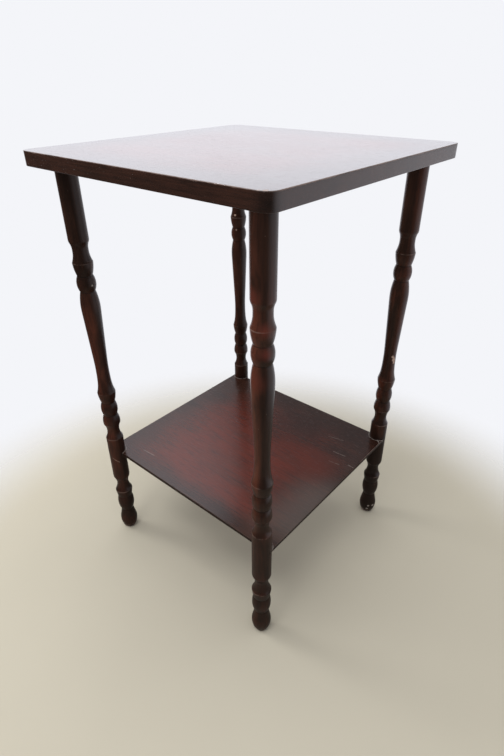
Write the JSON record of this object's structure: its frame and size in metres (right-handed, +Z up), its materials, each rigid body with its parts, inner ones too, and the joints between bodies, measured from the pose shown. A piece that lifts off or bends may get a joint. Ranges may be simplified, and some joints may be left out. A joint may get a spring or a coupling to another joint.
{
  "type": "end table",
  "caption": "Square end table with a plain board top on slender turned legs and a thin shelf set low into the legs.",
  "frame": {"origin": "on the floor, under the middle of the top", "axes": "+Z up; +X along the shelf's open ends, to the right; +Y to the back, across the kerfs"},
  "size_m": [0.4, 0.4, 0.66],
  "materials": {
    "stained_top": "dark mahogany stain, gloss lacquer",
    "stained_leg": "dark mahogany stain, semi-gloss lacquer",
    "stained_shelf": "mahogany stain, darker at the edges, satin lacquer",
    "bolt_steel": "zinc plated",
    "insert_brass": "plain turned",
    "nail_steel": "plain drawn wire"
  },
  "bodies": {
    "root": {"table_top": "stained_top", "leg_front_right": "stained_leg", "leg_front_left": "stained_leg", "leg_back_right": "stained_leg", "leg_back_left": "stained_leg", "shelf": "stained_shelf", "hanger_bolt_front_right": "bolt_steel", "hanger_bolt_front_left": "bolt_steel", "hanger_bolt_back_right": "bolt_steel", "hanger_bolt_back_left": "bolt_steel", "insert_nut_front_right": "insert_brass", "insert_nut_front_left": "insert_brass", "insert_nut_back_right": "insert_brass", "insert_nut_back_left": "insert_brass", "shelf_nail_front_right": "nail_steel", "shelf_nail_front_left": "nail_steel", "shelf_nail_back_right": "nail_steel", "shelf_nail_back_left": "nail_steel"}
  },
  "joints": []
}
